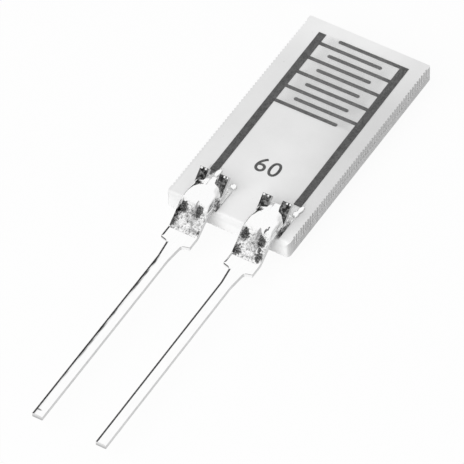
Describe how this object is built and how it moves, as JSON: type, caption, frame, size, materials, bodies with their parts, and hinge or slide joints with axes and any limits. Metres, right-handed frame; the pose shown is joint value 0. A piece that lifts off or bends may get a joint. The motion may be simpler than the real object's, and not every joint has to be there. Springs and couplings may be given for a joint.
{
  "type": "electrolytic humidity sensor",
  "caption": "Bare humidity sensing chip: printed interdigitated combs on a ceramic plate, with two soldered edge-clip leads.",
  "frame": {"origin": "midway between the two leads, on the line where their shoulders seat, in the middle of the strip's thickness", "axes": "+Y from the lead shoulders to the far end of the chip, so the leads point to -Y; +X across the chip, +Z out of the printed face"},
  "size_m": [0.005, 0.0208, 0.002],
  "materials": {
    "alumina": "matt fired alumina ceramic, near white",
    "polymer_film": "thin clear moisture sensitive polymer coat",
    "electrode_print": "dark screen printed conductor, matt with a fine mesh grain",
    "pad_print": "printed solderable silver conductor",
    "tinned_strip": "bright tin plated stamped strip",
    "solder": "bright reflowed solder, rough where it wicked thin"
  },
  "bodies": {
    "root": {"ceramic_substrate": "alumina", "humidity_film": "polymer_film", "electrode_left": "electrode_print", "electrode_right": "electrode_print", "solder_pad_left": "pad_print", "solder_pad_right": "pad_print", "terminal_left": "tinned_strip", "terminal_right": "tinned_strip", "solder_joint_left": "solder", "solder_joint_right": "solder"}
  },
  "joints": []
}
